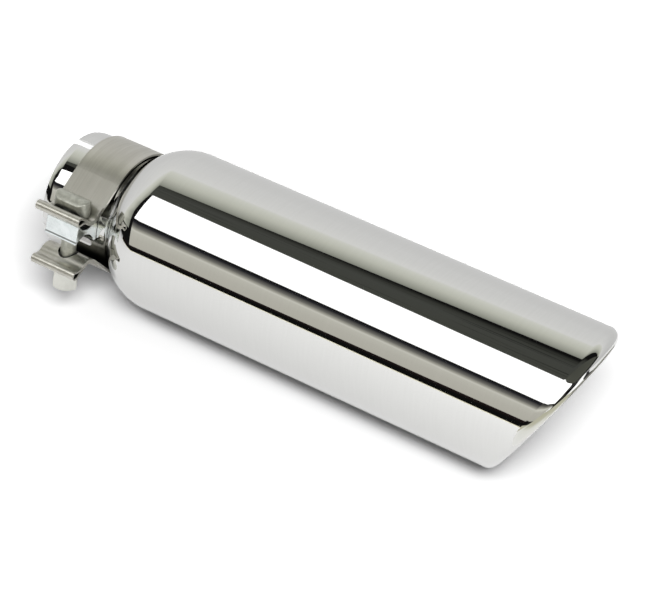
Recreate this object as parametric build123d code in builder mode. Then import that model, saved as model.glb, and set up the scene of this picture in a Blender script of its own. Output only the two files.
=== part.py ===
"""Clamp-on exhaust tip: a spun stainless tube with a slotted inlet neck, a domed shoulder and a
rolled lip on its slanted outlet, held on the tailpipe by a strap clamp with folded loop ends.

Frame: origin in the middle of the inlet mouth, +X along the tube to the outlet, +Z up through the
long side of the slanted cut. The clamp's ears point to -Y.
"""
import os
from math import acos, asin, atan2, cos, degrees, hypot, radians, sin, tan

from build123d import *

os.makedirs("parts", exist_ok=True)

# Tip
overall_length = 365.0
body_diameter = 101.6
inlet_bore = 72.0
sheet = 1.6
neck_clear = 1.15
foot_radius = 4.0
dome_radius = 34.0
cut_angle = 30.0
lip_radius = 6.35
lip_flat = 0.6
lip_edge = 1.5
mouth_lead = 5.0
mouth_curve = 14.0
mouth_round = 0.25
slot_width = 5.2
slot_cover = 8.0

# Strap clamp
band_setback = 14.3
band_width = 31.75
strap = 1.3
band_gap = 0.75
layer_gap = 0.1
clamp_angle = 13.2
bolt_clearance = 10.9
trough_rise = 20.9
crest_radius = 6.0
loop_reach = 12.4
loop_drop = 2.7
loop_radius = 2.3
fold_tail = 6.5
ear_play = 1.25

# T-bolt, half-round washer and nut
head_radius = 6.0
head_top = 4.6
head_crown = 8.2
head_length = 24.0
head_edge = 0.7
seat_gap = 0.15
shank_diameter = 9.5
shank_tip = 0.8
washer_length = 15.0
washer_flat = 2.6
washer_play = 0.35
washer_round = 0.4
nut_flats = 14.3
nut_height = 12.7
nut_gap = 0.05
nut_bevel = 0.5
nut_land_share = 0.95
thread_gap = 0.06

# Reaction block
block_length = 22.9
block_angle = 5.8
block_gap = 0.3
web = 3.4
cradle_gap = 0.75
flange_height = 12.6
foot_height = 15.6
flange_tip = 1.0
block_round = 0.5
block_play = 0.55

# Sizes that follow
body_radius = body_diameter / 2
neck_radius = inlet_bore / 2 + sheet
neck_length = band_setback + band_width + neck_clear
mouth_turn = degrees(asin(mouth_lead / mouth_curve))
slot_length = band_setback + band_width - slot_cover
bolt_reach = neck_radius + bolt_clearance
shoulder_turn = degrees(acos(1 - (body_radius - neck_radius) / (foot_radius + dome_radius)))
slant = radians(cut_angle)
lip_reach = (body_radius - lip_radius) * tan(slant) + lip_radius - lip_radius / cos(slant)
cut_plane = Plane(origin=(overall_length - lip_reach, 0, 0), z_dir=(cos(slant), 0, -sin(slant)))
opening_radius = body_radius - 2 * lip_radius - lip_flat
lip_return = lip_radius * cos(slant) / tan(radians(90 - cut_angle) / 2) + lip_edge


def cross_plane(angle):
    """Plane across the tube at the band's middle, its x axis angle degrees above level at -Y."""
    return Plane(
        origin=(band_setback + band_width / 2, 0, 0),
        x_dir=(0, -cos(radians(angle)), sin(radians(angle))),
        z_dir=(-1, 0, 0),
    )


clamp_plane = cross_plane(clamp_angle)
bolt_plane = Plane(
    origin=clamp_plane.from_local_coords(Vector(bolt_reach, 0, 0)),
    x_dir=(1, 0, 0),
    z_dir=clamp_plane.y_dir,
)
bolt_axis = Axis(bolt_plane.origin, bolt_plane.z_dir)
nut_plane = Plane(
    origin=bolt_plane.origin,
    x_dir=bolt_plane.x_dir,
    z_dir=bolt_plane.x_dir.cross(bolt_plane.z_dir),
)
block_plane = cross_plane(clamp_angle + block_angle)
block_bore = Plane(
    origin=block_plane.from_local_coords(Vector(bolt_reach / cos(radians(block_angle)), 0, 0)),
    z_dir=block_plane.y_dir,
)

ring_radius = neck_radius + band_gap + strap / 2
inner_radius = head_radius + seat_gap + strap / 2
outer_radius = inner_radius + strap + layer_gap
trough = Vector(bolt_reach, trough_rise)
loop = Vector(bolt_reach + loop_reach, trough_rise - loop_drop)

# Bends of the strap's end, in the clamp's plane: the trough turns out over a low crest into the loop
leave = degrees(
    atan2(trough_rise, bolt_reach)
    + acos((ring_radius + outer_radius) / hypot(bolt_reach, trough_rise))
)
run = hypot(loop_reach, loop_drop)
seat_side = outer_radius + crest_radius
roll_side = crest_radius + loop_radius
seat_angle = acos((seat_side**2 + run**2 - roll_side**2) / (2 * seat_side * run))
out_angle = degrees(atan2(-loop_drop, loop_reach) - seat_angle)
crest = trough + Vector(seat_side, 0).rotate(Axis.Z, out_angle)
roll_angle = degrees(atan2(loop.Y - crest.Y, loop.X - crest.X))
fold_radius = crest_radius + strap + layer_gap
fold_angle = roll_angle + degrees(acos((fold_radius - loop_radius) / roll_side))

washer_bottom = trough_rise + washer_flat
nut_top = washer_bottom + nut_gap
nut_bottom = nut_top + nut_height
nut_corners = nut_flats / 2 / cos(radians(30))
nut_land = nut_land_share * nut_flats / 2
nut_drop = (nut_corners - nut_land) * tan(radians(30))
cradle_radius = outer_radius + strap / 2 + cradle_gap
cradle_drop = web / 2 + cradle_radius
cradle_half = (cradle_radius**2 - (cradle_drop - flange_height / 2) ** 2) ** 0.5
block_face = bolt_reach + cradle_half + flange_tip


def tip_form(inset, curved_mouth):
    """Solid outline of the tip, moved in by inset everywhere but at the inlet's end."""
    return_plane = cut_plane.offset(-lip_return)
    with BuildPart() as core:
        with BuildSketch(Plane.YZ):
            Circle(opening_radius + inset)
        extrude(amount=2 * overall_length)
        split(bisect_by=return_plane, keep=Keep.TOP)
    with BuildPart() as form:
        with BuildSketch():
            with BuildLine():
                neck = Line((mouth_lead, neck_radius - inset), (neck_length, neck_radius - inset))
                foot = JernArc(neck @ 1, neck % 1, foot_radius + inset, shoulder_turn)
                dome = JernArc(foot @ 1, foot % 1, dome_radius - inset, -shoulder_turn)
                body = Line(dome @ 1, (overall_length + body_diameter, body_radius - inset))
                if curved_mouth:
                    mouth = CenterArc((mouth_lead, neck_radius - mouth_curve), mouth_curve, 90, mouth_turn)
                else:
                    mouth = Line(neck @ 0, (0, neck_radius - inset))
                Polyline(mouth @ 1, (0, 0), (overall_length + body_diameter, 0), body @ 1)
            make_face()
        revolve(axis=Axis.X)
        split(bisect_by=cut_plane.offset(-inset), keep=Keep.BOTTOM)
        fillet(edges().filter_by(GeomType.ELLIPSE), lip_radius - inset)
        add(core.part, mode=Mode.SUBTRACT)
        outlet = edges(Select.LAST).filter_by(GeomType.ELLIPSE).sort_by(Axis.X)[-1]
        fillet(outlet, lip_radius - inset)
    return form.part


def strap_side(shift):
    """One side of the strap's upper half, from behind the neck to the folded end."""
    ring = CenterArc((0, 0), ring_radius + shift, 180, leave - 180)
    seat = CenterArc(trough, outer_radius - shift, leave - 180, out_angle - leave + 180)
    Line(ring @ 1, seat @ 0)
    CenterArc(crest, crest_radius + shift, out_angle + 180, roll_angle - out_angle - 180)
    roll = CenterArc(loop, loop_radius - shift, roll_angle - 180, fold_angle - roll_angle + 180)
    fold = CenterArc(crest, fold_radius - shift, fold_angle, out_angle + 180 - fold_angle)
    Line(roll @ 1, fold @ 0)
    hem = CenterArc(trough, inner_radius + shift, out_angle, leave - 180 - out_angle)
    tail = Line(hem @ 1, hem @ 1 + (hem % 1) * fold_tail)
    return tail @ 1


with BuildPart() as tip_shell:
    add(tip_form(0, curved_mouth=True))
    add(tip_form(sheet, curved_mouth=False), mode=Mode.SUBTRACT)
    mouth_rim = edges().filter_by(GeomType.CIRCLE).group_by(Axis.X)[0].sort_by(SortBy.RADIUS)[-1]
    fillet(mouth_rim, mouth_round)
    for plane in (Plane.XY, Plane.XZ):
        with BuildSketch(plane):
            SlotOverall(2 * slot_length, slot_width)
        extrude(amount=body_radius, both=True, mode=Mode.SUBTRACT)
tip_shell.part.label = "tip_shell"
export_step(tip_shell.part, "parts/tip_shell.step")

with BuildPart() as clamp_band:
    with BuildSketch(clamp_plane):
        with BuildLine():
            outer_end = strap_side(strap / 2)
            inner_end = strap_side(-strap / 2)
            Line(outer_end, inner_end)
            mirror(about=Plane.XZ)
        make_face()
    extrude(amount=band_width / 2, both=True)
    with BuildSketch(bolt_plane):
        Circle(shank_diameter / 2 + ear_play)
    extrude(amount=nut_bottom, both=True, mode=Mode.SUBTRACT)
clamp_band.part.label = "clamp_band"
export_step(clamp_band.part, "parts/clamp_band.step")

with BuildPart() as reaction_block:
    with BuildSketch(block_plane):
        Rectangle(bolt_reach, foot_height, align=(Align.MIN, Align.CENTER))
        Rectangle(block_face, flange_height, align=(Align.MIN, Align.CENTER))
        with Locations((bolt_reach, cradle_drop), (bolt_reach, -cradle_drop)):
            Circle(cradle_radius, mode=Mode.SUBTRACT)
        Circle(neck_radius + block_gap, mode=Mode.SUBTRACT)
        fillet(vertices(), block_round)
    extrude(amount=block_length / 2, both=True)
    with BuildSketch(block_bore):
        Circle(shank_diameter / 2 + block_play)
    extrude(amount=foot_height, both=True, mode=Mode.SUBTRACT)
reaction_block.part.label = "reaction_block"
export_step(reaction_block.part, "parts/reaction_block.step")

with BuildPart() as t_bolt:
    with BuildSketch(clamp_plane):
        with Locations((bolt_reach, trough_rise)):
            Circle(head_radius)
            Rectangle(2 * head_radius, head_top, align=(Align.CENTER, Align.MIN))
        with Locations((bolt_reach, trough_rise + head_top - head_crown)):
            Circle(head_crown, mode=Mode.INTERSECT)
    extrude(amount=head_length / 2, both=True)
    with BuildSketch(bolt_plane.offset(trough_rise)):
        SlotOverall(head_length, 2 * head_radius)
    extrude(amount=2 * head_radius, both=True, mode=Mode.INTERSECT)
    fillet(faces().sort_by(bolt_axis)[-1].edges(), head_edge)
    with BuildSketch(bolt_plane.offset(-nut_bottom)):
        Circle(shank_diameter / 2)
    extrude(amount=nut_bottom + trough_rise)
    chamfer(faces().sort_by(bolt_axis)[0].edges(), shank_tip)
t_bolt.part.label = "t_bolt"
export_step(t_bolt.part, "parts/t_bolt.step")

with BuildPart() as saddle_washer:
    with BuildSketch(clamp_plane):
        with Locations((bolt_reach, -trough_rise)):
            Circle(head_radius)
        with Locations((bolt_reach, -washer_bottom)):
            Rectangle(
                2 * head_radius,
                2 * head_radius,
                align=(Align.CENTER, Align.MIN),
                mode=Mode.INTERSECT,
            )
    extrude(amount=washer_length / 2, both=True)
    fillet(edges().group_by(Axis.X)[0] + edges().group_by(Axis.X)[-1], washer_round)
    with BuildSketch(bolt_plane):
        Circle(shank_diameter / 2 + washer_play)
    extrude(amount=-nut_bottom, mode=Mode.SUBTRACT)
saddle_washer.part.label = "saddle_washer"
export_step(saddle_washer.part, "parts/saddle_washer.step")

with BuildPart() as hex_nut:
    with BuildSketch(bolt_plane.offset(-nut_bottom)):
        RegularPolygon(nut_flats / 2, 6, major_radius=False)
        Circle(shank_diameter / 2 + thread_gap, mode=Mode.SUBTRACT)
    extrude(amount=nut_height)
    chamfer(edges().filter_by(GeomType.CIRCLE), nut_bevel)
    with BuildSketch(nut_plane):
        with BuildLine():
            Polyline(
                (0, -nut_bottom),
                (nut_land, -nut_bottom),
                (nut_corners, nut_drop - nut_bottom),
                (nut_corners, -nut_top - nut_drop),
                (nut_land, -nut_top),
                (0, -nut_top),
                close=True,
            )
        make_face()
    revolve(axis=bolt_axis, mode=Mode.INTERSECT)
hex_nut.part.label = "hex_nut"
export_step(hex_nut.part, "parts/hex_nut.step")
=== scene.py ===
"""Polished clamp-on exhaust tip on a white studio table."""
import math

import bpy
from mathutils import Matrix, Vector


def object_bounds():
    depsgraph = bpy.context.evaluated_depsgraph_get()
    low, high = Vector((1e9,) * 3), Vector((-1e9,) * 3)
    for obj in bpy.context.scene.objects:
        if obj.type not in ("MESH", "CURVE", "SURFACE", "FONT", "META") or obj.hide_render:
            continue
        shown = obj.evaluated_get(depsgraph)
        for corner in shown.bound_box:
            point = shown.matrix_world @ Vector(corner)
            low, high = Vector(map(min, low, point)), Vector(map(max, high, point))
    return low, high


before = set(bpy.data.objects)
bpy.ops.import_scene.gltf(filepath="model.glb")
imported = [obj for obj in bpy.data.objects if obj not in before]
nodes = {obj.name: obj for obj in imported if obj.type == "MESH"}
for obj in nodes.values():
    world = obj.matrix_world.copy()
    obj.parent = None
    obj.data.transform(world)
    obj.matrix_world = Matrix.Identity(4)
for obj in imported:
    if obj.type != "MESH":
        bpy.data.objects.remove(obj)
cad_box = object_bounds()
scene = bpy.context.scene

MM = 0.001

# Body, shoulder and rolled lip of the tip
BODY_RADIUS = cad_box[1][2]
DOME_RADIUS = 34.0 * MM
DOME_PLACE = 76.0 * MM
SHOULDER_FOOT = 50.4 * MM
CUT_TILT = math.radians(30)
CUT_NORMAL = (math.cos(CUT_TILT), 0.0, -math.sin(CUT_TILT))
LIP_RADIUS = 6.35 * MM
LIP_INSET = 0.3 * MM
LIP_SPINE = BODY_RADIUS - LIP_RADIUS - LIP_INSET
LIP_RISE = LIP_SPINE * math.tan(CUT_TILT)
LIP_PLACE = 332.9 * MM
LIP_SLIDE = 0.35 * MM
LIP_SKIN = 0.88 * LIP_RADIUS
LIP_ROUNDS = 3

# Block of the clamp, and the painted shade line in its front
BLOCK_TILT = math.radians(19)
BLOCK_OUT = (0.0, -math.cos(BLOCK_TILT), math.sin(BLOCK_TILT))
BLOCK_UP = (0.0, math.sin(BLOCK_TILT), math.cos(BLOCK_TILT))
BLOCK_FRONT = 57.0 * MM
SHADE_LINE_LOW = -5.0 * MM
SHADE_LINE_HIGH = -4.0 * MM
SHADE_LINE_BLUR = 0.3 * MM

# Table, with the levels that whiten it for the camera and set it for the metal, and its painted contact
# shadow
TABLE_LEVEL = cad_box[0][2]
TABLE_HALF = 60.0
TABLE_MIDDLE = (0.18, 0.0, TABLE_LEVEL)
TABLE_TONE = 0.8
NEAR_REACH = 0.22
FAR_REACH = 0.45
NEAR_LIFT = 0.5
FAR_LIFT = 1.6
MIRRORED_LIFT = 0.32
BOUNCED_LIFT = -0.75
PAINTED_SHADOW_REACH = 12.0 * MM
PAINTED_SHADOW_TONE = 0.5

# Room and lamp
ROOM_LEVEL = 0.3
ROOM_MIRRORED = 0.008
LAMP_PLACE = Vector((1.357, -1.379, 2.145))
LAMP_TARGET = Vector((0.2, 0.0, 0.0))
LAMP_WIDTH = 1.4
LAMP_HEIGHT = 1.0
LAMP_WATTS = 70.0

# Photo's camera
PICTURE_WIDTH = 650
FOCAL_PIXELS = 2696.0
SENSOR = 36.0
CAMERA_PLACE = Vector((848.2, -984.0, 1042.2)) * MM
CAMERA_RIGHT = Vector((0.8280, 0.5607, 0.0))
CAMERA_UP = Vector((-0.3701, 0.5465, 0.7513))
CAMERA_BACK = Vector((0.4212, -0.6221, 0.6600))
CAMERA_NEAR = 0.05
CAMERA_FAR = 200.0

NUMBER = "NodeSocketFloat"
VECTOR = "NodeSocketVector"


def tint(red, green, blue):
    return (red, green, blue, 1.0)


def grey(level):
    return (level, level, level)


def between(start, end, share):
    return start + (end - start) * share


class NodeNet:
    """Short way to lay out shader nodes."""

    def __init__(self, tree):
        self.tree = tree

    def add(self, kind, inputs=None, **settings):
        """New node; each input is a value or another node's output."""
        node = self.tree.nodes.new(kind)
        for name, value in settings.items():
            setattr(node, name, value)
        for name, value in (inputs or {}).items():
            self.feed(value, node.inputs[name])
        return node

    def feed(self, value, socket):
        if isinstance(value, bpy.types.NodeSocket):
            self.tree.links.new(value, socket)
        else:
            socket.default_value = value

    def math(self, operation, *values):
        return self.add("ShaderNodeMath", dict(enumerate(values)), operation=operation).outputs[0]

    def vector(self, operation, *values):
        node = self.add("ShaderNodeVectorMath", dict(enumerate(values)), operation=operation)
        return node.outputs["Value" if operation in ("DOT_PRODUCT", "LENGTH") else "Vector"]

    def scale(self, vector, amount):
        """Vector times a number."""
        inputs = {0: vector, "Scale": amount}
        return self.add("ShaderNodeVectorMath", inputs, operation="SCALE").outputs["Vector"]

    def join(self, **parts):
        """Vector from its X, Y and Z; one that isn't given is 0."""
        return self.add("ShaderNodeCombineXYZ", parts).outputs[0]

    def split(self, vector):
        """X, Y and Z of a vector."""
        return self.add("ShaderNodeSeparateXYZ", {"Vector": vector}).outputs

    def spread(self, value, low, high):
        """Map 0 to 1 onto low to high."""
        return self.math("MULTIPLY_ADD", value, high - low, low)

    def step(self, value, start, end):
        """Smooth rise from 0 at start to 1 at end."""
        inputs = {"Value": value, "From Min": start, "From Max": end}
        return self.add("ShaderNodeMapRange", inputs, interpolation_type="SMOOTHSTEP").outputs["Result"]

    def share(self, amount, first, second):
        """Number mix: first at 0, second at 1."""
        return self.add("ShaderNodeMix", {0: amount, 2: first, 3: second}, data_type="FLOAT").outputs[0]

    def choose(self, amount, first, second):
        """Vector mix: first at 0, second at 1."""
        return self.add("ShaderNodeMix", {0: amount, 4: first, 5: second}, data_type="VECTOR").outputs[1]

    def blend(self, amount, first, second):
        """Colour mix: first at 0, second at 1."""
        return self.add("ShaderNodeMix", {0: amount, 6: first, 7: second}, data_type="RGBA").outputs[2]

    def ramp(self, value, *stops):
        """Colour by stops of (value, colour)."""
        node = self.add("ShaderNodeValToRGB", {"Fac": value})
        band = node.color_ramp.elements
        while len(band) < len(stops):
            band.new(0.5)
        for element, (place, colour) in zip(band, stops):
            element.position = place
            element.color = tint(*colour)
        return node.outputs["Color"]

    def noise(self, place, scale=1.0, **settings):
        """Cloudy noise between 0 and 1."""
        return self.add("ShaderNodeTexNoise", {"Vector": place, "Scale": scale, **settings}).outputs["Fac"]

    def group(self, tree, **values):
        node = self.add("ShaderNodeGroup", node_tree=tree)
        for name, value in values.items():
            self.feed(value, node.inputs[name])
        return node.outputs

    def place(self):
        """Place on the object in metres."""
        return self.add("ShaderNodeTexCoord").outputs["Object"]

    def path(self):
        """Kind and depth of the ray that meets the surface."""
        return self.add("ShaderNodeLightPath").outputs

    def before_bounce(self, path):
        """1 until the ray has left a matt surface, 0 from then on."""
        return self.math("LESS_THAN", path["Diffuse Depth"], 0.5)

    def show(self, shader, kind="ShaderNodeOutputMaterial"):
        self.add(kind, {"Surface": shader.outputs[0]})


# Effects that several finishes share
MIDDLE_OF_NOISE = (0.36, 0.64)
BROAD_LINES = (0.12, 0.6, 0.6)
GRAIN_SCALE = 2500.0
GRAIN_SHARE = 0.3
EDGE_TURN = (0.01, 0.2)
CREVICE_SKY = (0.75, 0.15)


def new_group(name, inputs, outputs):
    """Shader group with number inputs (name: default) and outputs (name: socket kind)."""
    tree = bpy.data.node_groups.new(name, "ShaderNodeTree")
    for socket, default in inputs.items():
        number = tree.interface.new_socket(socket, in_out="INPUT", socket_type=NUMBER)
        number.default_value = default
    for socket, kind in outputs.items():
        tree.interface.new_socket(socket, in_out="OUTPUT", socket_type=kind)
    net = NodeNet(tree)
    return tree, net, net.add("NodeGroupInput").outputs, net.add("NodeGroupOutput").inputs


def lay_lines_group():
    """Fine lines round the tube and along the strap, as rolling, spinning and polishing leave them."""
    outputs = {"Tone": NUMBER, "Height": NUMBER}
    tree, net, given, out = new_group("lay_lines", {"Lines": 2000.0, "Run": 40.0}, outputs)
    stretch = net.join(X=given["Lines"], Y=given["Run"], Z=given["Run"])
    lay = net.vector("MULTIPLY", net.place(), stretch)
    fine = net.noise(lay, Detail=3.0, Roughness=0.65)
    broad = net.noise(net.vector("MULTIPLY", lay, BROAD_LINES))
    net.feed(net.step(net.share(0.5, fine, broad), *MIDDLE_OF_NOISE), out["Tone"])
    net.feed(fine, out["Height"])
    return tree


def plating_bloom_group():
    """Cloudy patches and fine grain of zinc plating."""
    outputs = {"Tone": NUMBER, "Height": NUMBER}
    tree, net, given, out = new_group("plating_bloom", {"Patch": 300.0}, outputs)
    place = net.place()
    cloud = net.noise(place, given["Patch"], Detail=4.0, Roughness=0.6)
    grain = net.noise(place, GRAIN_SCALE, Detail=2.0)
    mixed = net.share(GRAIN_SHARE, cloud, grain)
    net.feed(net.step(mixed, *MIDDLE_OF_NOISE), out["Tone"])
    net.feed(mixed, out["Height"])
    return tree


def rubbed_edge_group():
    """Edges broken by deburring and handling: a mask and the rounded normal."""
    outputs = {"Rub": NUMBER, "Normal": VECTOR}
    tree, net, given, out = new_group("rubbed_edge", {"Width": 0.4 * MM}, outputs)
    rounded = net.add("ShaderNodeBevel", {"Radius": given["Width"]}, samples=6).outputs[0]
    flat = net.add("ShaderNodeNewGeometry").outputs["Normal"]
    turn = net.math("SUBTRACT", 1.0, net.vector("DOT_PRODUCT", rounded, flat))
    net.feed(net.step(turn, *EDGE_TURN), out["Rub"])
    net.feed(rounded, out["Normal"])
    return tree


def crevice_group():
    """Shade where surfaces lie close together."""
    tree, net, given, out = new_group("crevice", {"Reach": 5.0 * MM}, {"Shade": NUMBER})
    open_sky = net.add("ShaderNodeAmbientOcclusion", {"Distance": given["Reach"]}, samples=8).outputs["AO"]
    net.feed(net.step(open_sky, *CREVICE_SKY), out["Shade"])
    return tree


lay_lines = lay_lines_group()
plating_bloom = plating_bloom_group()
rubbed_edge = rubbed_edge_group()
crevice = crevice_group()

# Tints and roughness of the shell, buffed outside and spun inside
BUFFED_TINTS = (tint(0.675, 0.675, 0.66), tint(0.69, 0.69, 0.675))
BUFFED_ROUGHNESS = (0.02, 0.045)
SPUN_TINTS = (tint(0.46, 0.45, 0.43), tint(0.56, 0.55, 0.53))
SPUN_ROUGHNESS = (0.2, 0.34)
SPUN_DEPTH = 0.5
SHELL_WAVES = (12.0, 60.0, 60.0)
SHELL_DEPTH = 0.02 * MM
INSIDE_FACING = (-0.05, -0.4)

# Tints, roughness and wear of the strap, and the painted shade in its crevices
STRAP_TINTS = [(0.15, (0.46, 0.448, 0.4)), (0.5, (0.51, 0.498, 0.448)), (0.85, (0.56, 0.548, 0.5))]
STRAP_ROUGHNESS = (0.36, 0.26)
STRAP_CLOUD = 110.0
STRAP_DEPTH = 0.012 * MM
STRAP_EDGE = tint(0.74, 0.73, 0.7)
STRAP_RUB = 0.6
STRAP_SHADE_TINT = tint(0.05, 0.05, 0.045)
STRAP_SHADE = 0.75

# Wear of the zinc plating, the painted shade in its crevices, and how dark the painted shade line in the
# block's front is
ZINC_EDGE = tint(0.82, 0.83, 0.82)
ZINC_RUB = 0.4
ZINC_SHADE_TINT = tint(0.05, 0.052, 0.05)
ZINC_SHADE = 0.7
SHADE_LINE_STRENGTH = 0.85


def new_material(name):
    material = bpy.data.materials.new(name)
    material.use_nodes = True
    material.node_tree.nodes.clear()
    return material, NodeNet(material.node_tree)


def metal(net, colour, roughness, height, depth, normal):
    """Metal shader with a bump of the given depth in metres."""
    inputs = {"Height": height, "Distance": depth, "Strength": 1.0, "Normal": normal}
    bump = net.add("ShaderNodeBump", inputs).outputs[0]
    inputs = {"Base Color": colour, "Metallic": 1.0, "Roughness": roughness, "Normal": bump}
    net.show(net.add("ShaderNodeBsdfPrincipled", inputs))


def domed_normal(net, place, radial):
    """Normal of the straight body and the domed shoulder, and where along the tube it holds."""
    along = net.split(place)["X"]
    lean = net.math("MINIMUM", net.math("SUBTRACT", along, DOME_PLACE), 0.0)
    height = net.vector("DOT_PRODUCT", place, radial)
    height = net.math("SUBTRACT", height, BODY_RADIUS - DOME_RADIUS)
    normal = net.vector("NORMALIZE", net.vector("ADD", net.scale(radial, height), net.join(X=lean)))
    return normal, net.math("GREATER_THAN", along, SHOULDER_FOOT)


def bead_middle(net, place, angle):
    """At an angle round the tube: the way out from its axis, the way to the place from the ring that
    the bead's middle follows, and the run of that ring."""
    cosine = net.math("COSINE", angle)
    sine = net.math("SINE", angle)
    radial = net.join(Y=cosine, Z=sine)
    ring = net.join(X=net.math("MULTIPLY_ADD", sine, LIP_RISE, LIP_PLACE))
    ring = net.vector("ADD", net.scale(radial, LIP_SPINE), ring)
    run = net.join(X=net.math("MULTIPLY", cosine, LIP_RISE),
                   Y=net.math("MULTIPLY", sine, -LIP_SPINE),
                   Z=net.math("MULTIPLY", cosine, LIP_SPINE))
    return radial, net.vector("SUBTRACT", place, ring), run


def lip_normal(net, place):
    """Normal of the rolled lip, away from the nearest point of its ring, and where it holds."""
    split = net.split(place)
    angle = net.math("ARCTAN2", split["Z"], split["Y"])
    for _ in range(LIP_ROUNDS):
        away, run = bead_middle(net, place, angle)[1:]
        miss = net.math("DIVIDE", net.vector("DOT_PRODUCT", away, run), net.vector("DOT_PRODUCT", run, run))
        angle = net.math("ADD", angle, miss)
    radial, away = bead_middle(net, place, angle)[:2]
    tilt = net.vector("DOT_PRODUCT", radial, CUT_NORMAL)
    outward = net.vector("NORMALIZE", net.vector("SUBTRACT", radial, net.scale(CUT_NORMAL, tilt)))
    side = net.vector("DOT_PRODUCT", away, outward)
    slide = net.math("MINIMUM", net.math("MAXIMUM", side, -LIP_SLIDE), LIP_SLIDE)
    away = net.vector("SUBTRACT", away, net.scale(outward, slide))
    along_wall = net.vector("SUBTRACT", CUT_NORMAL, net.scale(radial, tilt))
    past_wall = net.math("GREATER_THAN", net.vector("DOT_PRODUCT", away, along_wall), 0.0)
    on_skin = net.math("GREATER_THAN", net.vector("LENGTH", away), LIP_SKIN)
    return net.vector("NORMALIZE", away), net.math("MULTIPLY", past_wall, on_skin)


def mirror_polished_stainless():
    """Mirror outside with faint buffing lines; the inside is left as spun."""
    material, net = new_material("mirror_polished_stainless")
    place = net.place()
    mesh_normal = net.add("ShaderNodeNewGeometry").outputs["Normal"]
    radial = net.vector("NORMALIZE", net.vector("MULTIPLY", place, (0.0, 1.0, 1.0)))
    facing = net.vector("DOT_PRODUCT", radial, mesh_normal)
    inside = net.step(facing, *INSIDE_FACING)
    body, on_body = domed_normal(net, place, radial)
    on_body = net.math("MULTIPLY", on_body, net.math("GREATER_THAN", facing, 0.0))
    lip, on_lip = lip_normal(net, place)
    normal = net.choose(on_lip, net.choose(on_body, mesh_normal, body), lip)
    buffing = net.group(lay_lines, Lines=5000.0, Run=60.0)
    spinning = net.group(lay_lines, Lines=900.0, Run=12.0)
    buffed = net.blend(buffing["Tone"], *BUFFED_TINTS)
    spun = net.blend(spinning["Tone"], *SPUN_TINTS)
    colour = net.blend(inside, buffed, spun)
    bright = net.spread(buffing["Tone"], *BUFFED_ROUGHNESS)
    dull = net.spread(spinning["Tone"], *SPUN_ROUGHNESS)
    roughness = net.share(inside, bright, dull)
    waves = net.noise(net.vector("MULTIPLY", place, SHELL_WAVES))
    lines = net.math("MULTIPLY", spinning["Height"], inside)
    height = net.math("MULTIPLY_ADD", lines, SPUN_DEPTH, waves)
    metal(net, colour, roughness, height, SHELL_DEPTH, normal)
    return material


def rolled_strap_stainless():
    """Satin strap with lines along its length, bright sheared edges and painted shade in its crevices."""
    material, net = new_material("rolled_strap_stainless")
    lines = net.group(lay_lines, Lines=1600.0, Run=28.0)
    edge = net.group(rubbed_edge, Width=0.25 * MM)
    shade = net.group(crevice, Reach=5.0 * MM)["Shade"]
    tone = net.share(0.5, lines["Tone"], net.noise(net.place(), STRAP_CLOUD, Detail=3.0))
    colour = net.ramp(tone, *STRAP_TINTS)
    colour = net.blend(net.math("MULTIPLY", edge["Rub"], STRAP_RUB), colour, STRAP_EDGE)
    # Painted shade: darker towards a shade tint where other surfaces lie close
    colour = net.blend(net.math("MULTIPLY", shade, STRAP_SHADE), colour, STRAP_SHADE_TINT)
    roughness = net.spread(tone, *STRAP_ROUGHNESS)
    metal(net, colour, roughness, lines["Height"], STRAP_DEPTH, edge["Normal"])
    return material


def painted_shade_line(net):
    """Painted shade line in the block's front, just over its lower edge."""
    place = net.place()
    rise = net.vector("DOT_PRODUCT", place, BLOCK_UP)
    over_low = net.step(rise, SHADE_LINE_LOW - SHADE_LINE_BLUR, SHADE_LINE_LOW + SHADE_LINE_BLUR)
    under_high = net.step(rise, SHADE_LINE_HIGH + SHADE_LINE_BLUR, SHADE_LINE_HIGH - SHADE_LINE_BLUR)
    front = net.math("GREATER_THAN", net.vector("DOT_PRODUCT", place, BLOCK_OUT), BLOCK_FRONT)
    return net.math("MULTIPLY", net.math("MULTIPLY", over_low, under_high), front)


def zinc(name, low, high, roughness, patch, depth, edge_width, shade_line=None):
    """Zinc plating between two tints, rubbed bright at its edges and with painted shade in its crevices."""
    material, net = new_material(name)
    bloom = net.group(plating_bloom, Patch=patch)
    edge = net.group(rubbed_edge, Width=edge_width)
    # Painted shade where other surfaces lie close, and along the painted shade line where one is given
    shade = net.math("MULTIPLY", net.group(crevice, Reach=4.0 * MM)["Shade"], ZINC_SHADE)
    if shade_line:
        shade = net.math("MAXIMUM", shade, net.math("MULTIPLY", shade_line(net), SHADE_LINE_STRENGTH))
    colour = net.blend(bloom["Tone"], tint(*low), tint(*high))
    colour = net.blend(net.math("MULTIPLY", edge["Rub"], ZINC_RUB), colour, ZINC_EDGE)
    colour = net.blend(shade, colour, ZINC_SHADE_TINT)
    metal(net, colour, net.spread(bloom["Tone"], *roughness), bloom["Height"], depth, edge["Normal"])
    return material


grey_zinc = zinc("grey_zinc", low=(0.42, 0.425, 0.375), high=(0.58, 0.585, 0.525), roughness=(0.55, 0.42),
                 patch=300.0, depth=0.05 * MM, edge_width=0.6 * MM)
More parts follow.
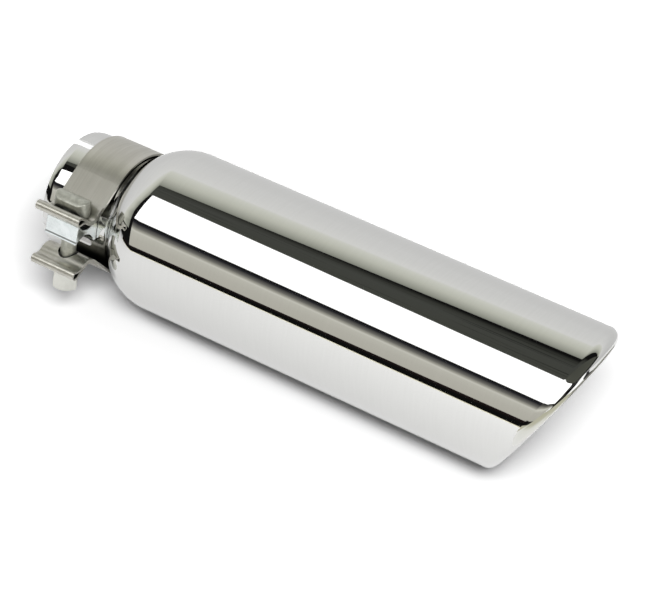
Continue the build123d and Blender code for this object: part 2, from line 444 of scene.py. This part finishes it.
# The block's plating carries the painted shade line.
blue_white_zinc = zinc("blue_white_zinc", low=(0.74, 0.79, 0.79), high=(0.82, 0.86, 0.86),
                       roughness=(0.2, 0.12), patch=160.0, depth=0.006 * MM, edge_width=1.2 * MM,
                       shade_line=painted_shade_line)
warm_white_zinc = zinc("warm_white_zinc", low=(0.62, 0.62, 0.57), high=(0.68, 0.68, 0.63),
                       roughness=(0.2, 0.13), patch=150.0, depth=0.006 * MM, edge_width=0.4 * MM)
FINISHES = {
    "tip_shell": mirror_polished_stainless(),
    "clamp_band": rolled_strap_stainless(),
    "reaction_block": blue_white_zinc,
    "t_bolt": grey_zinc,
    "saddle_washer": grey_zinc,
    "hex_nut": warm_white_zinc,
}
for name, finish in FINISHES.items():
    nodes[name].data.materials.clear()
    nodes[name].data.materials.append(finish)

# Studio sheets: the streaks along a sheet, the rays that don't see it, and two levels of light
STREAKS_ALONG = 5.0
STREAKS_ACROSS = 30.0
STREAK_NOISE = (0.42, 0.3)
BLIND_RAYS = ("camera", "diffuse", "shadow", "transmission", "volume_scatter")
BLACK = grey(0.006)
BOX_WHITE = grey(2.2)


def stage_mesh(name, rows, material):
    """Sheet of quads through rows of points, kept out of the part."""
    mesh = bpy.data.meshes.new(name)
    count = len(rows[0])
    corners = [row * count + column for row in range(len(rows) - 1) for column in range(count - 1)]
    faces = [(corner, corner + 1, corner + count + 1, corner + count) for corner in corners]
    mesh.from_pydata([point for row in rows for point in row], [], faces)
    mesh.materials.append(material)
    obj = bpy.data.objects.new(name, mesh)
    scene.collection.objects.link(obj)
    return obj


def glow(name, stops, streaks):
    """Light of a studio sheet by its height, with thin dark streaks along it."""
    material, net = new_material(name)
    height = net.add("ShaderNodeAttribute", attribute_name="height").outputs["Fac"]
    tone = net.ramp(height, *stops)
    if streaks:
        along = net.math("MULTIPLY", net.split(net.place())["X"], STREAKS_ALONG)
        lay = net.join(X=along, Y=net.math("MULTIPLY", height, STREAKS_ACROSS))
        shade = net.step(net.noise(lay, Detail=3.0), *STREAK_NOISE)
        tone = net.blend(net.math("MULTIPLY", shade, streaks), tone, tint(0.0, 0.0, 0.0))
    strength = net.before_bounce(net.path())
    net.show(net.add("ShaderNodeEmission", {"Color": tone, "Strength": strength}))
    return material


def studio_sheet(name, rows, heights, stops, streaks=0.0):
    """Sheet that only the metal sees, lit by stops of (height, colour)."""
    sheet = stage_mesh(name, rows, glow(name, stops, streaks))
    height = sheet.data.attributes.new("height", "FLOAT", "POINT")
    height.data.foreach_set("value", heights * len(rows))
    for ray in BLIND_RAYS:
        setattr(sheet, "visible_" + ray, False)


# Two places on the body, and how the photo's view line leans once it is mirrored there:
# (x on the body, x lost per metre on the way out)
SHOULDER_SIDE = (0.095, 0.525)
OUTLET_SIDE = (0.320, 0.368)
PAST_SIDES = 0.7
SECTIONS = 24
STEPS = 12


def tube_card(name, reach, left, right, left_end, right_end, stops, streaks=0.0):
    """Card round the tube's axis. left and right: its (low, high) angles as seen near the shoulder and
    near the outlet, from the near side up over the top. left_end and right_end: its x at its low and
    high edges."""
    shoulder, outlet = [x - lean * (reach - BODY_RADIUS) for x, lean in (SHOULDER_SIDE, OUTLET_SIDE)]
    heights = [step / STEPS for step in range(STEPS + 1)]
    rows = []
    for section in range(SECTIONS + 1):
        row = []
        for height in heights:
            x = between(between(*left_end, height), between(*right_end, height), section / SECTIONS)
            share = min(max((x - shoulder) / (outlet - shoulder), -PAST_SIDES), 1.0 + PAST_SIDES)
            low, high = [between(*angles, share) for angles in zip(left, right)]
            angle = math.radians(between(low, high, height))
            row.append((x, -reach * math.cos(angle), reach * math.sin(angle)))
        rows.append(row)
    studio_sheet(name, rows, heights, stops, streaks)


tube_card("soft_box", reach=0.9, left=(38.5, 77.5), right=(37.6, 74.6),
          left_end=(-0.75, -0.40), right_end=(0.88, 0.88),
          stops=[(0.0, BLACK), (0.03, BOX_WHITE), (0.97, BOX_WHITE), (1.0, BLACK)])
tube_card("near_card", reach=1.0, left=(4.5, 36.5), right=(7.2, 36.0),
          left_end=(-0.61, -0.86), right_end=(0.9, 0.9),
          stops=[(0.0, (0.60, 0.585, 0.52)), (0.35, (0.63, 0.615, 0.55)), (0.58, (0.68, 0.67, 0.6)),
                 (0.64, (0.78, 0.77, 0.7)), (0.7, (0.5, 0.49, 0.43)), (0.8, (0.2, 0.195, 0.18)),
                 (0.95, (0.02, 0.02, 0.025))])
tube_card("table_edge", reach=0.95, left=(-3.1, 4.7), right=(-3.1, 7.6),
          left_end=(-1.2, -1.2), right_end=(0.9, 0.9),
          stops=[(0.0, (1.25, 1.2, 0.93)), (0.09, (1.25, 1.2, 0.93)), (0.12, BLACK), (0.6, BLACK),
                 (1.0, (0.02, 0.012, 0.012))])
tube_card("top_flag", reach=1.2, left=(76.0, 99.0), right=(73.0, 106.5),
          left_end=(-0.80, -0.80), right_end=(0.9, 0.9),
          stops=[(0.0, (0.07, 0.073, 0.062)), (0.6, (0.075, 0.078, 0.07)), (0.8, (0.05, 0.052, 0.045)),
                 (0.95, BLACK)],
          streaks=0.7)

# Backdrop behind the tube that bends round to its inlet end: (x, y) of its top edge, its fold and its foot
SWEEP_TOP = [(3.0, 1.9), (1.2, 0.95), (0.4, 0.54), (-0.05, 0.317), (-0.455, 0.08), (-0.66, -0.25),
             (-0.98, -0.48), (-1.51, -0.865), (-2.13, -1.53), (-3.0, -2.6)]
SWEEP_FOLD = [(3.0, 2.2), (1.3, 1.2), (0.5, 0.77), (0.039, 0.53), (-0.288, 0.363), (-0.45, 0.065),
              (-0.674, -0.091), (-1.16, -0.273), (-2.77, -0.68), (-6.0, -1.6)]
SWEEP_FOOT = [(3.0, 0.6), (1.3, 0.3), (0.5, 0.17), (0.04, 0.16), (-0.2, 0.16), (-0.35, 0.12),
              (-0.6, 0.03), (-1.2, -0.1), (-3.0, -0.45), (-6.3, -1.35)]
TOP_LEVEL = 1.0
FOLD_LEVEL = 0.6
sweep_rows = [((*top, TOP_LEVEL), (*fold, FOLD_LEVEL), (*foot, TABLE_LEVEL))
              for top, fold, foot in zip(SWEEP_TOP, SWEEP_FOLD, SWEEP_FOOT)]
studio_sheet("back_sweep", sweep_rows, heights=[0.0, 0.35, 1.0],
             stops=[(0.0, (0.30, 0.31, 0.265)), (0.06, (0.42, 0.43, 0.375)), (0.21, (0.68, 0.69, 0.61)),
                    (0.325, (0.8, 0.81, 0.74)), (0.42, (0.9, 0.9, 0.89)), (0.8, grey(0.82)),
                    (1.0, grey(0.7))])

# What the lip mirrors past the outlet's near side. Each column is an azimuth from the lip and the
# elevations of the white panel's top and foot, of the dark gap's foot, of the beige card's foot and
# of the black edge's foot.
LIP_SIDE = Vector((0.357, -0.03, 0.038))
WRAP_REACH = 0.4
WRAP_FOOT = -75
WRAP = [(-111, 40, 33.5, 22, 5.6, -2.4), (-100, 45, 33, 21, 2.3, -5), (-92, 48, 31, 18.5, -1.8, -8),
        (-84, 60, 28, 17, -5.5, -11), (-76, 66, 24.5, 13, -9.5, -13.2), (-70, 70, 21, 10, -12.5, -13.3),
        (-64, 70, 17.5, 7, -20, -21), (-58, 67, 14, 3, -20, -21), (-52, 63, 10, -1, -20, -21),
        (-46, 60, 5, -5, -20, -21), (-40, 55, 0, -9, -20, -21), (-33, 48, -7, -16, -30, -31),
        (-25, 38, -2, -60, -70, -71), (-19, 30, 10, -60, -70, -71), (-14, 20, 13, -60, -70, -71)]

# Dark flag over that: azimuths from the lip and the elevations of the flag's foot
FLAG_REACH = 0.38
FLAG_TOP = 88
FLAG_HEIGHTS = [0.0, 0.3, 0.6, 1.0]
FLAG_FEET = [(-118, 72), (-100, 71), (-86, 70), (-72, 67.5), (-60, 63), (-52, 59), (-44, 54), (-37, 48),
             (-30, 41), (-20, 28), (-12, 16), (-4, 6), (10, 9), (25, 14), (40, 20)]


def from_lip(azimuth, elevation, reach):
    """Place at a reach from the lip's near side, by angles in degrees."""
    around = math.radians(azimuth)
    up = math.radians(elevation)
    way = Vector((math.cos(up) * math.cos(around), math.cos(up) * math.sin(around), math.sin(up)))
    return LIP_SIDE + reach * way


flag_rows = [[from_lip(azimuth, between(foot, FLAG_TOP, height), FLAG_REACH) for height in FLAG_HEIGHTS]
             for azimuth, foot in FLAG_FEET]
studio_sheet("outlet_flag", flag_rows, heights=FLAG_HEIGHTS,
             stops=[(0.0, (0.1, 0.103, 0.085)), (1.0, (0.08, 0.083, 0.07))])
wrap_rows = [[from_lip(azimuth, elevation, WRAP_REACH) for elevation in (*elevations, WRAP_FOOT)]
             for azimuth, *elevations in WRAP]
# Its lowest band, under the black edge, is the table painted olive with its shadow
studio_sheet("outlet_wrap", wrap_rows, heights=[1.0, 0.8, 0.6, 0.4, 0.2, 0.0],
             stops=[(0.0, (0.65, 0.635, 0.5)), (0.195, (0.65, 0.635, 0.5)), (0.2, BLACK), (0.395, BLACK),
                    (0.41, (0.6, 0.585, 0.52)), (0.55, (0.64, 0.625, 0.56)), (0.6, (0.85, 0.84, 0.76)),
                    (0.64, (0.5, 0.49, 0.43)), (0.72, (0.12, 0.115, 0.105)), (0.79, (0.03, 0.03, 0.03)),
                    (0.8, BOX_WHITE)])

# Papers on the table by the outlet, and sheets painted with the table's shadow and light there
PAPER_LEVEL = TABLE_LEVEL + 2 * MM


def table_sheet(name, left, right, stops):
    """Sheet just over the table between two edges of (x, y) places."""
    rows = [[(*start, PAPER_LEVEL), (*end, PAPER_LEVEL)] for start, end in zip(left, right)]
    studio_sheet(name, rows, heights=[0.0, 1.0], stops=stops)


table_sheet("paper_end",
            left=[(0.55, -0.15), (0.53, -0.09), (0.53, -0.03), (0.62, 0.0)],
            right=[(4.0, -2.2), (4.0, -1.0), (4.0, 0.0), (4.0, 0.5)],
            stops=[(0.0, BLACK), (1.0, BLACK)])
# Painted shadow: from the table's white into an olive shadow by the outlet's foot
table_sheet("olive_painted_shadow",
            left=[(0.21, -0.45), (0.27, -0.3), (0.325, -0.17), (0.35, -0.1), (0.36, -0.05), (0.365, 0.022)],
            right=[(0.75, -0.75), (0.62, -0.33), (0.55, -0.15), (0.53, -0.09), (0.53, -0.03),
                   (0.46, 0.012)],
            stops=[(0.0, (1.08, 1.08, 1.06)), (0.3, (1.0, 1.0, 0.94)), (0.5, (0.68, 0.665, 0.53)),
                   (1.0, (0.62, 0.61, 0.47))])
# Painted light: a patch brighter than the table, where light falls on it past the outlet
table_sheet("painted_table_light",
            left=[(0.53, -0.03), (0.62, 0.0), (1.5, 0.1)],
            right=[(0.46, 0.025), (0.56, 0.05), (1.5, 0.31)],
            stops=[(0.0, grey(1.4)), (1.0, grey(1.7))])
# Painted shadow: a darker sheet where the part's shadow lies on the table past the outlet
table_sheet("painted_table_shadow",
            left=[(0.36, 0.022), (0.4, 0.02), (0.46, 0.012)],
            right=[(0.36, 0.12), (0.4, 0.12), (0.44, 0.1)],
            stops=[(0.0, (0.36, 0.355, 0.31)), (1.0, (0.28, 0.28, 0.24))])
table_sheet("paper_gap",
            left=[(0.415, 0.05), (0.46, 0.045), (0.56, 0.05), (1.5, 0.31)],
            right=[(0.42, 0.075), (0.46, 0.075), (0.56, 0.085), (1.5, 0.42)],
            stops=[(0.0, grey(0.05)), (1.0, grey(0.05))])


def white_table():
    """Matt table, whitened for the camera, set for the metal and darkened with painted shadow close to the
    part.
    """
    material, net = new_material("white_table")
    path = net.path()
    reach = net.vector("LENGTH", net.vector("SUBTRACT", net.place(), TABLE_MIDDLE))
    camera_lift = net.spread(net.step(reach, NEAR_REACH, FAR_REACH), NEAR_LIFT, FAR_LIFT)
    tone = net.math("MULTIPLY_ADD", path["Is Camera Ray"], camera_lift, TABLE_TONE)
    metal_lift = net.spread(net.before_bounce(path), BOUNCED_LIFT, MIRRORED_LIFT)
    tone = net.math("MULTIPLY_ADD", path["Is Glossy Ray"], metal_lift, tone)
    # Painted contact shadow: the table darkens where the part lies close over it
    painted_contact_shadow = net.group(crevice, Reach=PAINTED_SHADOW_REACH)["Shade"]
    tone = net.math("MULTIPLY", tone, net.spread(painted_contact_shadow, 1.0, PAINTED_SHADOW_TONE))
    net.show(net.add("ShaderNodeBsdfDiffuse", {"Color": tone}))
    return material


def studio_room():
    """White to the camera, dim on matt surfaces and almost black in the metal."""
    world = bpy.data.worlds.new("studio")
    world.use_nodes = True
    world.node_tree.nodes.clear()
    net = NodeNet(world.node_tree)
    path = net.path()
    level = net.blend(path["Is Glossy Ray"], tint(*grey(ROOM_LEVEL)), tint(*grey(ROOM_MIRRORED)))
    level = net.blend(path["Is Camera Ray"], level, tint(1.0, 1.0, 1.0))
    net.show(net.add("ShaderNodeBackground", {"Color": level}), "ShaderNodeOutputWorld")
    scene.world = world


def overhead_box():
    """Lamp from the front right that the metal doesn't see."""
    lamp = bpy.data.lights.new("overhead_box", "AREA")
    lamp.shape = "RECTANGLE"
    lamp.size = LAMP_WIDTH
    lamp.size_y = LAMP_HEIGHT
    lamp.energy = LAMP_WATTS
    lamp_object = bpy.data.objects.new("overhead_box", lamp)
    lamp_object.location = LAMP_PLACE
    lamp_object.rotation_euler = (LAMP_TARGET - LAMP_PLACE).to_track_quat("-Z", "Y").to_euler()
    lamp_object.visible_glossy = False
    scene.collection.objects.link(lamp_object)


def photo_view():
    """Camera in the photo's place."""
    camera = bpy.data.cameras.new("photo_view")
    camera.sensor_width = SENSOR
    camera.lens = FOCAL_PIXELS * SENSOR / PICTURE_WIDTH
    camera.clip_start = CAMERA_NEAR
    camera.clip_end = CAMERA_FAR
    camera_object = bpy.data.objects.new("photo_view", camera)
    turn = Matrix((CAMERA_RIGHT, CAMERA_UP, CAMERA_BACK)).transposed()
    camera_object.matrix_world = Matrix.Translation(CAMERA_PLACE) @ turn.to_4x4()
    scene.collection.objects.link(camera_object)
    scene.camera = camera_object


# Table, room, lamp and camera in their places
table_sides = (-TABLE_HALF, TABLE_HALF)
stage_mesh("table_top", [[(x, y, TABLE_LEVEL) for x in table_sides] for y in table_sides], white_table())
studio_room()
overhead_box()
photo_view()
scene.view_settings.view_transform = "Standard"
